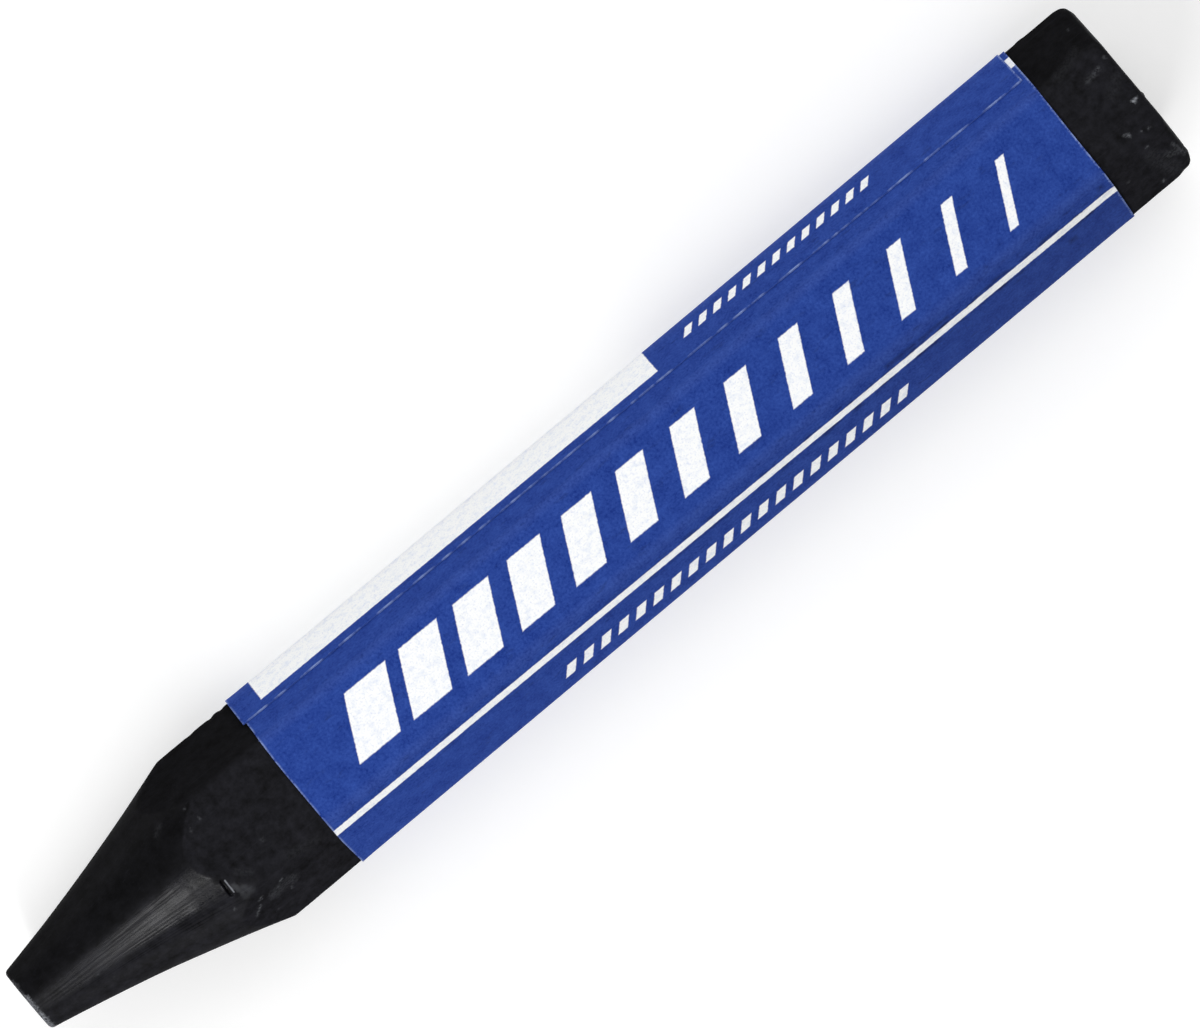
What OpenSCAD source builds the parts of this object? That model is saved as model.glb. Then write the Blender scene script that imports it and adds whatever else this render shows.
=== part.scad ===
// Hexagonal wax marking crayon in a lapped paper wrapper.
// Millimetres. +X runs along the stick from the writing tip to the butt, +Z is up.
// The origin lies on the table, under the middle of the stick's length.

/* [Wax stick] */
// Length from the writing tip to the butt
stick_length = 120; // [100:1:150]
// Width across the flats of the hexagon
across_flats = 15.2; // [13:0.1:20]
// Radius of the six long corners
corner_radius = 0.8; // [0.4:0.05:1.5]
// Radius of the rolled rim round the butt
butt_rim_radius = 0.8; // [0.3:0.05:1.5]

/* [Writing tip] */
// Diameter of the taper where it ends at the writing tip
tip_diameter = 6.1; // [4:0.1:9]
// Width of the broken edge round the writing tip
tip_edge = 0.35; // [0.1:0.05:0.6]
// Length of the taper, from the writing tip to where it runs out on the corners
taper_length = 21.4; // [15:0.1:30]
// Depth by which the side of the taper is hollowed below a straight line
taper_hollow = 0.35; // [0.1:0.05:0.6]

/* [Paper wrapper] */
// Thickness of the paper
paper_thickness = 0.12; // [0.08:0.01:0.25]
// Bare wax between the taper's run-out and the front edge of the paper
bare_front = 7.2; // [3:0.1:15]
// Bare wax between the rear edge of the paper and the butt
bare_butt = 6.8; // [3:0.1:15]
// Distance of the seam, where the flap ends, from the corner at the top of its face
seam_to_corner = 3.2; // [2:0.1:5]
// Distance of the leading edge, under the flap, from the corner that the flap turns over
lead_to_corner = 4.4; // [4:0.1:6]
// Distance by which the flap runs ahead of the turn below it, as the paper is wound askew
flap_lead = 0.5; // [0:0.1:1.5]
// Length over which the paper climbs on to its own leading edge
climb_length = 0.8; // [0.4:0.1:1.5]

/* [Glue] */
// Thickness of a dried glue film
glue_thickness = 0.05; // [0.03:0.01:0.1]
// Width of the strip that closes the lap
lap_glue_width = 2.8; // [1.5:0.1:3.2]
// Width of the strip that tacks the leading edge to the wax
tack_glue_width = 3; // [1.5:0.1:3.2]
// Margin from a glue strip to the paper's edge beside it
glue_margin = 0.4; // [0.2:0.1:0.6]
// Margin from the ends of a glue strip to the ends of the paper
glue_end_margin = 2; // [1.6:0.1:5]

/* [Hidden] */

sides = 6;
turn = 360 / sides;
flat_radius = across_flats / 2;
side_length = 2 * flat_radius * tan(turn / 2);

// Centres of the corner arcs lie on this radius, and the rounded corners reach out to the next one
corner_centre_radius = (flat_radius - corner_radius) / cos(turn / 2);
corner_reach = corner_centre_radius + corner_radius;

// Offsets from the wax to the inside of the first turn of paper and of the flap that lies over it
first_turn_offset = glue_thickness;
flap_offset = first_turn_offset + paper_thickness + glue_thickness;

// The stick lies on the paper, one layer thick on the bottom flat
axis_height = flat_radius + first_turn_offset + paper_thickness;
tip_x = -stick_length / 2;

paper_start = taper_length + bare_front;
paper_length = stick_length - paper_start - bare_butt;

// Places along a side are measured from its middle, positive in the direction of winding.
// The flap ends on the first side, whose normal points 30 degrees above +Y, and the paper
// starts on the side before it.
seam_side = 0;
lead_side = sides - 1;
seam_place = side_length / 2 - seam_to_corner;
lead_place = side_length / 2 - lead_to_corner;
climb_end_place = lead_place - climb_length / 2;
climb_start_place = climb_end_place - climb_length;

overshoot = 2;
arc_steps = 6;
$fn = 96;

// Turns a piece that is drawn along Z to lie along the stick, from a distance behind the writing tip
module along_stick(from = 0) {
    translate([tip_x + from, 0, axis_height])
        rotate([90, 0, 90])
            children();
}

// Puts a strip on a side of the hexagon: X is out from the axis, Y along the winding, Z along the stick
module on_side(side) {
    rotate((side + 0.5) * turn)
        children();
}

// Section of the stick: a hexagon on its flat, with six round corners
module stick_section() {
    half_flat = (flat_radius - corner_radius) * tan(turn / 2);
    circle(r = corner_centre_radius, $fn = sides);
    for (side = [0 : sides - 1]) {
        rotate(side * turn)
            translate([corner_centre_radius, 0])
                circle(r = corner_radius);
        on_side(side)
            translate([0, -half_flat])
                square([flat_radius, 2 * half_flat]);
    }
}

// Half section of the turned form: flat tip with a broken edge, hollow taper, then clear of the corners
module turned_half_section() {
    tip_radius = tip_diameter / 2;
    clear_radius = corner_reach + overshoot;
    rise = corner_reach - tip_radius;
    chord = norm([rise, taper_length]);
    hollow_radius = chord * chord / (8 * taper_hollow) + taper_hollow / 2;
    outward = [taper_length, -rise] / chord;
    chord_middle = [(tip_radius + corner_reach) / 2, taper_length / 2];
    difference() {
        polygon([
            [0, 0],
            [tip_radius - tip_edge, 0],
            [clear_radius, clear_radius - tip_radius + tip_edge],
            [clear_radius, stick_length],
            [0, stick_length]
        ]);
        translate(chord_middle + outward * (hollow_radius - taper_hollow))
            circle(r = hollow_radius, $fn = 720);
    }
}

// Section along the stick through two opposite flats, with the rim rolled over at the butt
module rimmed_section() {
    inset = flat_radius - butt_rim_radius;
    translate([-flat_radius, 0])
        square([2 * flat_radius, stick_length - butt_rim_radius]);
    translate([-inset, 0])
        square([2 * inset, stick_length]);
    for (edge = [-inset, inset])
        translate([edge, stick_length - butt_rim_radius])
            circle(r = butt_rim_radius);
}

// One pair of flats with its rolled rim, as a bar that is wider than the stick
module rimmed_bar() {
    bar_width = 2 * (corner_reach + overshoot);
    rotate([90, 0, 0])
        linear_extrude(bar_width, center = true)
            rimmed_section();
}

// The stick is cast in one piece. Where the round taper meets the flats it leaves a scallop on each.
module wax_stick() {
    color("#1b1b1f")
        along_stick()
            intersection() {
                linear_extrude(stick_length)
                    stick_section();
                rotate_extrude()
                    turned_half_section();
                for (pair = [0 : sides / 2 - 1])
                    on_side(pair)
                        rimmed_bar();
            }
}

// A point above a side, at a place along it
function side_point(side, place, offset) =
    let (angle = (side + 0.5) * turn)
    [
        (flat_radius + offset) * cos(angle) - place * sin(angle),
        (flat_radius + offset) * sin(angle) + place * cos(angle)
    ];

// Points round the corner that follows a side
function corner_points(side, offset) = [
    for (step = [0 : arc_steps])
        let (
            corner_angle = (side + 1) * turn,
            angle = corner_angle + turn * (step / arc_steps - 0.5)
        )
        corner_centre_radius * [cos(corner_angle), sin(corner_angle)]
            + (corner_radius + offset) * [cos(angle), sin(angle)]
];

// The line of one turn of paper: from its leading edge, round every side, up the climb
function first_turn_line(offset, climbed_offset) = concat(
    [side_point(lead_side, lead_place, offset)],
    [for (side = [lead_side : lead_side + sides - 1]) each corner_points(side, offset)],
    [
        side_point(lead_side, climb_start_place, offset),
        side_point(lead_side, climb_end_place, climbed_offset)
    ]
);

// The line of the flap: from the top of the climb, round one corner, to the seam
function flap_line(offset) = concat(
    [side_point(lead_side, climb_end_place, offset)],
    corner_points(lead_side, offset),
    [side_point(seam_side, seam_place, offset)]
);

function reversed(points) = [for (i = [len(points) - 1 : -1 : 0]) points[i]];

// Paper between an inner and an outer line
module paper_section(inner, outer) {
    polygon(concat(outer, reversed(inner)));
}

// One sheet, wound once round the stick and lapped over its own leading edge
module paper_wrapper() {
    color("#2f4796") {
        along_stick(paper_start)
            linear_extrude(paper_length)
                paper_section(
                    first_turn_line(first_turn_offset, flap_offset),
                    first_turn_line(first_turn_offset + paper_thickness, flap_offset + paper_thickness)
                );
        along_stick(paper_start - flap_lead)
            linear_extrude(paper_length)
                paper_section(flap_line(flap_offset), flap_line(flap_offset + paper_thickness));
    }
}

// A dried film of glue on a side, between two places, lying on a given offset from the wax
module glue_film(side, from, to, offset) {
    color("#e9e2cf")
        along_stick(paper_start + glue_end_margin)
            linear_extrude(paper_length - 2 * glue_end_margin)
                on_side(side)
                    translate([flat_radius + offset, from])
                        square([glue_thickness, to - from]);
}

// Closes the flap on to the turn below it
module lap_glue() {
    outer = seam_place - glue_margin;
    glue_film(seam_side, outer - lap_glue_width, outer, first_turn_offset + paper_thickness);
}

// Tacks the leading edge of the paper to the wax
module tack_glue() {
    inner = lead_place + glue_margin;
    glue_film(lead_side, inner, inner + tack_glue_width, 0);
}

wax_stick();
paper_wrapper();
lap_glue();
tack_glue();
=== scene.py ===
import math

import bpy
from mathutils import Matrix, Vector, noise


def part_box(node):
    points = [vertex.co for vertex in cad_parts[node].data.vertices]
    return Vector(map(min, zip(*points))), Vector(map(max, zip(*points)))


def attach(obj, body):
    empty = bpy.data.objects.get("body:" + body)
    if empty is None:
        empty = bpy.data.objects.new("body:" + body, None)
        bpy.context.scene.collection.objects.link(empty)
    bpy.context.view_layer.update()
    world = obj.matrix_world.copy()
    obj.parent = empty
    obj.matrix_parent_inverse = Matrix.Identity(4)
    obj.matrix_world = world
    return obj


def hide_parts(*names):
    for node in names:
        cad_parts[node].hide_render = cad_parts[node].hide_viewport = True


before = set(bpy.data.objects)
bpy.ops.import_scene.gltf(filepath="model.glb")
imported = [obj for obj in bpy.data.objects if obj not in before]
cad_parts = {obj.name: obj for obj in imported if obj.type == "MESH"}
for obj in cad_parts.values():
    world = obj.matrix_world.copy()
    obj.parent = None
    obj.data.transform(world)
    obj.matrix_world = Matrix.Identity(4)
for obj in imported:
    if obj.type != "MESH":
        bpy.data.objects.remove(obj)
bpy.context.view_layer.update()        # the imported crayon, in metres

mm = 0.001
waxLow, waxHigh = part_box("wax_stick")
paperLow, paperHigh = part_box("paper_wrapper")
axisZ = (waxLow.z + waxHigh.z) / 2
flatRadius = (waxHigh.z - waxLow.z) / 2
tipX, buttX = waxLow.x, waxHigh.x


# Small tools

def linear(hexText):
    channels = [int(hexText[i:i + 2], 16) / 255 for i in (1, 3, 5)]
    return [c / 12.92 if c <= 0.04045 else ((c + 0.055) / 1.055) ** 2.4 for c in channels] + [1.0]


def addNode(tree, kind, inputs=None, **settings):
    # an input is a value, a socket, or a node that gives the first of its outputs in use
    node = tree.nodes.new("ShaderNode" + kind)
    for name, value in settings.items():
        setattr(node, name, value)
    for name, value in (inputs or {}).items():
        if isinstance(value, bpy.types.Node):
            value = next(output for output in value.outputs if output.enabled)
        if isinstance(value, bpy.types.NodeSocket):
            tree.links.new(value, node.inputs[name])
        else:
            node.inputs[name].default_value = value
    return node


def newMaterial(name):
    material = bpy.data.materials.new(name)
    material.use_nodes = True
    material.node_tree.nodes.clear()
    return material, material.node_tree


def deselectAll():
    if bpy.context.mode != "OBJECT":
        bpy.ops.object.mode_set(mode="OBJECT")
    bpy.ops.object.select_all(action="DESELECT")


def makeActive(piece):
    deselectAll()
    piece.select_set(True)
    bpy.context.view_layer.objects.active = piece


def namePiece(name):
    piece = bpy.context.active_object
    piece.name = name
    piece.data.name = name
    bpy.ops.object.transform_apply(location=True, rotation=True, scale=True)
    return piece


def applyModifier(piece, kind, **settings):
    makeActive(piece)
    bpy.ops.object.modifier_add(type=kind)
    modifier = piece.modifiers[-1]
    for name, value in settings.items():
        setattr(modifier, name, value)
    bpy.ops.object.modifier_apply(modifier=modifier.name)


def selectParts(piece, kind, test):
    # leaves the piece in edit mode, with the parts that pass the test selected
    makeActive(piece)
    bpy.ops.object.mode_set(mode="EDIT")
    bpy.ops.mesh.select_mode(type=kind)
    bpy.ops.mesh.select_all(action="DESELECT")
    bpy.ops.object.mode_set(mode="OBJECT")
    mesh = piece.data
    parts = {"VERT": mesh.vertices, "EDGE": mesh.edges, "FACE": mesh.polygons}[kind]
    for part in parts:
        part.select = test(part)
    bpy.ops.object.mode_set(mode="EDIT")


# Wax stick

wax = {
    "cornerRadius": 0.8 * mm,
    "rimRadius": 0.8 * mm,
    "sharper": 0.1 * mm,     # by which the corners start sharper, as softening rounds them again
    "tipDiameter": 6.1 * mm,
    "tipEdge": 0.35 * mm,
    "taperLength": 21.4 * mm,
    "taperHollow": 0.35 * mm,
    "roundSegments": 6,
    "tipEdgeSteps": 5,
    "taperRings": 26,
    "taperSides": 160,
    "taperOverrun": 1.08,    # the turned form opens past the taper's length, to clear the corners
    "turnedOverrun": 5 * mm,   # and ends this far behind the butt
    "tipShift": (0.26 * mm, 0.13 * mm),   # how far the taper is off centre, at the tip and at its end
    "touching": 0.01 * mm,   # points this close along the stick lie on the same end
    "voxel": 0.2 * mm,
    "softening": 5,          # smoothing passes over the cast surface
    "softenFactors": (0.5, -0.52),   # each pass goes in and out again, so that nothing shrinks
    "scallopPasses": 5,      # and passes over the edge between the taper and the flats
    "scallopFactor": 0.5,
    "scallopReach": 0.3 * mm,
    "scallopRange": (0.6, 1.05),   # where that edge lies, as shares of the taper's length
    "crestMargin": 0.15 * mm,      # it stops this far short of the corners
    "coverMargin": 2 * mm,   # fine mesh reaches this far under the paper
    "hiddenRatio": 0.02,     # share of faces kept under the paper
    "swell": (7 * mm, 0.06 * mm),      # size and depth of the casting's unevenness
    "ripple": (1.6 * mm, 0.02 * mm),
    "castingDetail": 2,
}

sides = 6
halfTurn = math.pi / sides   # half of the turn from one flat to the next
cornerCentre = (flatRadius - wax["cornerRadius"]) / math.cos(halfTurn)
cornerReach = cornerCentre + wax["cornerRadius"]


def taperRadius(depth):
    # the taper's side is a slightly hollow arc between the tip and the corners
    tipRadius = wax["tipDiameter"] / 2
    rise = cornerReach - tipRadius
    chord = math.hypot(rise, wax["taperLength"])
    bend = chord ** 2 / (8 * wax["taperHollow"]) + wax["taperHollow"] / 2
    outward = Vector((wax["taperLength"], -rise)) / chord
    middle = Vector(((tipRadius + cornerReach) / 2, wax["taperLength"] / 2))
    centre = middle + outward * (bend - wax["taperHollow"])
    return centre.x - math.sqrt(bend ** 2 - (depth - centre.y) ** 2)


def turnedStations():
    # depth behind the tip and radius: rolled edge of the tip, hollow taper, then clear of the corners
    edge = wax["tipEdge"]
    edgeSteps = wax["tipEdgeSteps"]
    stations = []
    for step in range(1, edgeSteps + 1):
        angle = math.radians(90) * step / edgeSteps
        depth = edge * (1 - math.cos(angle))
        stations.append((depth, taperRadius(edge) - edge * (1 - math.sin(angle))))
    reach = wax["taperLength"] * wax["taperOverrun"]
    for step in range(1, wax["taperRings"] + 1):
        depth = edge + (reach - edge) * step / wax["taperRings"]
        stations.append((depth, taperRadius(depth)))
    stations.append((buttX - tipX + wax["turnedOverrun"], stations[-1][1]))
    return stations


def taperCentre(depth):
    atTip, atEnd = wax["tipShift"]
    return atTip + (atEnd - atTip) * min(depth / wax["taperLength"], 1)


def nearScallop(point):
    # on the edge that the taper leaves on a flat
    depth = point.co.x - tipX
    first, last = wax["scallopRange"]
    if not first * wax["taperLength"] < depth < last * wax["taperLength"]:
        return False
    radius = math.hypot(point.co.y - taperCentre(depth), point.co.z - axisZ)
    onEdge = abs(taperRadius(depth) - radius) < wax["scallopReach"]
    return onEdge and radius < cornerReach - wax["crestMargin"]


def modelStick():
    # hexagonal bar on its flat, corners rolled, rim of the butt rolled
    deselectAll()
    bpy.ops.mesh.primitive_cylinder_add(
        vertices=sides, radius=flatRadius / math.cos(halfTurn), depth=buttX - tipX,
        location=(0, 0, axisZ), rotation=(0, math.radians(90), 0))
    stick = namePiece("wax_stick_cast")
    points = stick.data.vertices
    touching = wax["touching"]
    selectParts(
        stick, "EDGE", lambda e: abs(points[e.vertices[0]].co.x - points[e.vertices[1]].co.x) > touching)
    bpy.ops.mesh.bevel(
        offset=(wax["cornerRadius"] - wax["sharper"]) * math.tan(halfTurn), segments=wax["roundSegments"])
    points = stick.data.vertices
    selectParts(stick, "EDGE", lambda e: all(points[v].co.x > buttX - touching for v in e.vertices))
    bpy.ops.mesh.bevel(offset=wax["rimRadius"], segments=wax["roundSegments"])
    bpy.ops.object.mode_set(mode="OBJECT")

    # turned form, drawn out ring by ring from the tip
    stations = turnedStations()
    start = taperRadius(wax["tipEdge"]) - wax["tipEdge"]
    deselectAll()
    bpy.ops.mesh.primitive_circle_add(
        vertices=wax["taperSides"], radius=start, fill_type="NGON",
        location=(tipX, taperCentre(0), axisZ), rotation=(0, math.radians(90), 0))
    turned = namePiece("turned_form")
    bpy.ops.object.mode_set(mode="EDIT")
    bpy.ops.mesh.select_all(action="SELECT")
    depth, radius = 0, start
    for nextDepth, nextRadius in stations:
        growth = nextRadius / radius
        drift = taperCentre(nextDepth) - taperCentre(depth)
        bpy.ops.mesh.extrude_region_move(TRANSFORM_OT_translate={"value": (nextDepth - depth, drift, 0)})
        centre = (0, taperCentre(nextDepth), axisZ)
        bpy.ops.transform.resize(value=(1, growth, growth), center_override=centre)
        depth, radius = nextDepth, nextRadius
    bpy.ops.mesh.select_all(action="SELECT")
    bpy.ops.mesh.normals_make_consistent(inside=False)
    bpy.ops.object.mode_set(mode="OBJECT")

    # the bar is pointed by the turned form, then its edges soften as cast wax does
    applyModifier(stick, "BOOLEAN", operation="INTERSECT", solver="EXACT", object=turned)
    makeActive(turned)
    bpy.ops.object.delete()
    applyModifier(stick, "REMESH", mode="VOXEL", voxel_size=wax["voxel"], use_smooth_shade=True)
    for step in range(wax["softening"]):
        for factor in wax["softenFactors"]:
            applyModifier(stick, "SMOOTH", factor=factor, iterations=1)
    selectParts(stick, "VERT", nearScallop)
    bpy.ops.mesh.vertices_smooth(factor=wax["scallopFactor"], repeat=wax["scallopPasses"])
    bpy.ops.object.mode_set(mode="OBJECT")

    # what the paper hides needs few faces
    coverStart = paperLow.x + wax["coverMargin"]
    coverEnd = paperHigh.x - wax["coverMargin"]
    selectParts(stick, "FACE", lambda f: coverStart < f.center.x < coverEnd)
    bpy.ops.mesh.decimate(ratio=wax["hiddenRatio"])
    bpy.ops.object.mode_set(mode="OBJECT")

    for name in ("swell", "ripple"):
        size, depth = wax[name]
        clouds = bpy.data.textures.new(name, type="CLOUDS")
        clouds.noise_scale = size
        clouds.noise_depth = wax["castingDetail"]
        applyModifier(
            stick, "DISPLACE", texture=clouds, texture_coords="LOCAL", strength=depth, mid_level=0.5)
    return stick


stick = modelStick()
overCorners = round(stick.dimensions.y / mm, 2)
print("wax stick:", len(stick.data.vertices), "points,", overCorners, "mm over the corners")


# Marks of use on the wax, with painted highlights and painted shade among them. Places are the depth behind
# the tip and the distance from the axis to +Y, in mm.

wear = {
    "nick": [(18.92, -2.5), (18.87, -3.2), (18.82, -3.85)],
    "nickDepth": 0.24 * mm,
    "nickLip": 0.03 * mm,
    "nickFine": (1.5 * mm, 3),     # reach and cuts of the finer mesh round it
    "nickSteps": 8,
    "slitWidth": (0.12 * mm, 0.12 * mm),   # core and reach of the slit, then of the lip
    "lipWidth": (0.1 * mm, 0.15 * mm),
    "lipBehind": 0.28 * mm,
    "dents": [   # place with its height over the axis, core, reach and push, all in mm
        ((26.8, 8.6, 0), 0.3, 0.3, (0, -0.07, 0)),
        ((28.0, 8.6, 0), 0.3, 0.3, (0, -0.07, 0)),
        ((27.4, 8.6, 0), 0.2, 0.3, (0, 0.03, 0)),
        ((24.6, 8.6, 0), 0.3, 0.5, (0, -0.04, 0)),
        ((115.0, 8.6, 0), 0.3, 0.5, (0, 0.05, 0)),
        ((119.4, -8.3, 0), 0.5, 1.2, (-0.16, 0.16, 0)),
        ((119.7, 8.3, 0), 0.4, 1.0, (-0.1, -0.1, 0)),
        ((119.9, -6.8, 1.2), 0.3, 0.5, (-0.16, 0, 0)),
        ((119.9, -6.8, 0), 0.3, 0.5, (-0.16, 0, 0)),
        ((119.9, -6.8, -1.2), 0.3, 0.5, (-0.16, 0, 0)),
        ((119.5, -6.8, 2.4), 0.3, 0.5, (-0.12, 0, -0.06)),
        ((119.9, -1.4, 5.6), 0.2, 0.3, (0.1, 0, 0.03)),
        ((119.5, 3.1, 7.3), 0.25, 0.45, (-0.1, 0, -0.08)),
    ],
    "marks": [   # layer, points of the stroke, half width in mm, strength
        # painted shade in the slit
        ("paintedSlitShade", [(18.93, -2.5), (18.9, -3.1), (18.86, -3.65)], 0.27, 1.0),
        # painted highlights: the lit lip behind the slit and a soft glint beyond it
        ("lightened", [(19.2, -2.6), (19.18, -3.2), (19.16, -3.8)], 0.1, 0.75),
        ("lightened", [(19.5, -3.4), (19.7, -4.3)], 0.4, 0.09),
        ("lightened", [(19.9, -4.0), (20.3, -4.5)], 0.5, 0.08),
        ("lightened", [(19.6, -4.7), (20.5, -4.7)], 0.35, 0.05),
        ("pale", [(20.4, -2.7), (21.4, -3.4)], 0.5, 0.03),
        ("pale", [(20.4, -5.75), (20.6, -5.65)], 0.18, 0.34),
        ("pale", [(19.3, -6.6), (20.1, -6.1)], 0.14, 0.22),
        ("pale", [(19.25, -6.6)], 0.16, 0.35),
        ("pale", [(22.8, -5.5)], 0.2, 0.42),
        ("pale", [(22.2, -5.8)], 0.18, 0.26),
        ("pale", [(23.1, -6.6)], 0.18, 0.22),
        ("pale", [(21.4, -6.1), (22.6, -6.0), (23.8, -6.1)], 0.6, 0.06),
        ("pale", [(18.3, -4.95)], 0.2, 0.16),
        ("pale", [(21.0, -7.3)], 0.16, 0.14),
        ("pale", [(24.5, -4.3), (27.2, -4.9)], 0.7, 0.02),
        ("pale", [(19.75, 2.45)], 0.22, 0.24),
        ("pale", [(20.9, 2.8)], 0.24, 0.14),
        ("pale", [(23.8, -2.0)], 0.3, 0.08),
        ("pale", [(20.4, 4.15)], 0.2, 0.14),
        ("pale", [(17.2, 4.0), (17.9, 4.4)], 0.4, 0.03),
        ("pale", [(6.85, -2.9)], 0.18, 0.1),
        ("pale", [(6.0, -1.75)], 0.18, 0.1),
        ("pale", [(15.5, -2.4)], 0.15, 0.2),
        # painted highlight on the rolled rim of the tip
        ("pale", [(0.1, 0.5), (0.15, -2.7)], 0.45, 0.62),
        ("pale", [(0.1, 2.2), (0.1, 0.4)], 0.3, 0.2),
        ("pale", [(118.9, -1.25), (119.15, -1.45), (119.35, -1.35)], 0.18, 0.9),
        ("pale", [(116.6, -3.1), (116.9, -3.35)], 0.23, 0.36),
        ("pale", [(118.6, -3.85)], 0.18, 0.32),
        ("pale", [(117.9, -3.75)], 0.2, 0.24),
        ("pale", [(117.4, -5.0)], 0.18, 0.36),
        ("pale", [(118.55, 2.75)], 0.2, 0.42),
        ("pale", [(117.1, 2.4), (118.3, 2.5)], 0.42, 0.09),
        ("pale", [(119.5, 3.0)], 0.3, 0.14),
        ("pale", [(116.8, -8.1)], 0.2, 0.36),
        ("pale", [(118.4, -6.6), (119.4, -7.0)], 0.5, 0.1),
        ("pale", [(119.3, -6.2), (119.6, -7.4)], 0.3, 0.15),
        ("pale", [(114.4, -6.3)], 0.22, 0.16),
        ("pale", [(118.7, 6.7)], 0.2, 0.1),
        ("pale", [(115.4, 4.2), (118.0, 4.9)], 0.7, 0.02),
        ("pale", [(117.4, -6.0), (118.2, -8.0)], 1.2, 0.035),
        ("pale", [(117.9, 0.2), (119.2, 1.0)], 0.9, 0.02),
    ],
    "raggedEdge": (0.35 * mm, 0.8, 0.4),   # size, middle and swing of a mark's uneven width
    "turnedFrom": (0.07 * mm, 0.15 * mm),  # depths of the cut at which the turned finish starts and is full
    "dullCrest": [(18.7, -2.1), (19.5, -2.95), (20.5, -3.75), (21.4, -4.5)],
    "dullWidth": 0.55,
    "hiddenFrom": 1 * mm,    # marks reach this far under the paper
    "rimFade": 1.1 * mm,     # the painted highlight on the rim of the tip runs out this far down its flat face
}


def onTop(depth, y):
    # the point of the stick's upper side at a depth behind the tip
    above = Vector((tipX + depth * mm, y * mm, axisZ + 4 * flatRadius))
    hit, spot, normal, _ = stick.ray_cast(above, Vector((0, 0, -1)))
    return (spot, normal) if hit else (Vector((above.x, above.y, axisZ)), Vector((0, 0, 1)))


def strokeGap(at, stroke):
    # distance from a place to a stroke of one or more points
    gaps = [(at - stroke[0]).length]
    for first, second in zip(stroke, stroke[1:]):
        run = second - first
        share = min(max((at - first).dot(run) / run.length_squared, 0), 1)
        gaps.append((at - first - run * share).length)
    return min(gaps)


def pressWax(spots, core, reach, push):
    # moves the points within the core of any spot, and draws their neighbours along
    selectParts(stick, "VERT", lambda v: any((v.co - spot).length < core for spot in spots))
    bpy.ops.transform.translate(
        value=push, use_proportional_edit=True, proportional_edit_falloff="SMOOTH", proportional_size=reach)
    bpy.ops.object.mode_set(mode="OBJECT")


def cutNick():
    # a straight slit where the taper meets the top flat, with a raised lip behind it
    line = [onTop(depth, y) for depth, y in wear["nick"]]
    spots, normals = zip(*line)
    middle = sum(spots, Vector()) / len(spots)
    fineReach, cuts = wear["nickFine"]
    selectParts(stick, "FACE", lambda f: (f.center - middle).length < fineReach)
    bpy.ops.mesh.subdivide(number_cuts=cuts)
    inward = -sum(normals, Vector()).normalized()
    steps = wear["nickSteps"]
    trail = [a.lerp(b, step / steps) for a, b in zip(spots, spots[1:]) for step in range(steps + 1)]
    lip = [spot + Vector((wear["lipBehind"], 0, 0)) for spot in trail]
    pressWax(trail, *wear["slitWidth"], inward * wear["nickDepth"])
    pressWax(lip, *wear["lipWidth"], -inward * wear["nickLip"])


def cutDepth(spot):
    # how deep the wheel cut below the nearest flat, or below the round of the nearest corner
    depth = spot.x - tipX
    radius = taperRadius(max(depth, 0))
    shift = taperCentre(depth)
    angle = math.atan2(spot.z - axisZ, spot.y - shift)
    fromFlat = (angle % (2 * halfTurn)) - halfTurn
    normal = angle - fromFlat
    onFlat = flatRadius - radius * math.cos(fromFlat) - shift * math.cos(normal)
    return min(onFlat, cornerReach - radius)


def rimShare(spot):
    # 1 on the upper rim of the tip, falling to 0 down its flat face
    y = spot.y - taperCentre(0)
    rim = axisZ + math.sqrt(max((wax["tipDiameter"] / 2) ** 2 - y ** 2, 0))
    return max(1 - (max(rim - spot.z, 0) / wear["rimFade"]) ** 2, 0)


def paintMarks():
    # layers that the wax finish reads: where it was turned, where it is pale with dust and crumbs and with
    # a painted highlight on the rim of the tip, where a painted highlight lightens it, and where painted
    # shade darkens the slit
    names = ("turned", "pale", "lightened", "paintedSlitShade")
    for name in names:
        stick.data.attributes.new(name, "FLOAT", "POINT")
    layers = {name: stick.data.attributes[name].data for name in names}
    dullCrest = [Vector(spot) for spot in wear["dullCrest"]]
    marks = [(layers[layer], [Vector(spot) for spot in points], width, strength)
             for layer, points, width, strength in wear["marks"]]
    start, full = wear["turnedFrom"]
    raggedSize, raggedMiddle, raggedSwing = wear["raggedEdge"]
    hiddenStart, hiddenEnd = paperLow.x + wear["hiddenFrom"], paperHigh.x - wear["hiddenFrom"]
    for index, point in enumerate(stick.data.vertices):
        depth = point.co.x - tipX
        place = Vector((depth, point.co.y)) / mm
        if depth < wax["taperLength"]:
            shine = min(max((cutDepth(point.co) - start) / (full - start), 0), 1)
            if point.co.z > axisZ:
                shine *= min(strokeGap(place, dullCrest) / wear["dullWidth"], 1)
            layers["turned"][index].value = shine
        if point.co.z < axisZ or hiddenStart < point.co.x < hiddenEnd:
            continue
        ragged = raggedMiddle + raggedSwing * noise.noise(point.co / raggedSize)
        kept = rimShare(point.co) if depth < wax["tipEdge"] else 1
        for layer, points, width, strength in marks:
            gap = strokeGap(place, points) / (width * ragged)
            if gap < 1:
                layer[index].value = max(layer[index].value, kept * strength * (1 - gap ** 2))


cutNick()
for (depth, y, height), core, reach, push in wear["dents"]:
    spot = Vector((tipX + depth * mm, y * mm, axisZ + height * mm))
    pressWax([spot], core * mm, reach * mm, Vector(push) * mm)
paintMarks()
makeActive(stick)
bpy.ops.object.shade_smooth()
print("wear on the wax:", len(stick.data.polygons), "faces")


# Paper label

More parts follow.
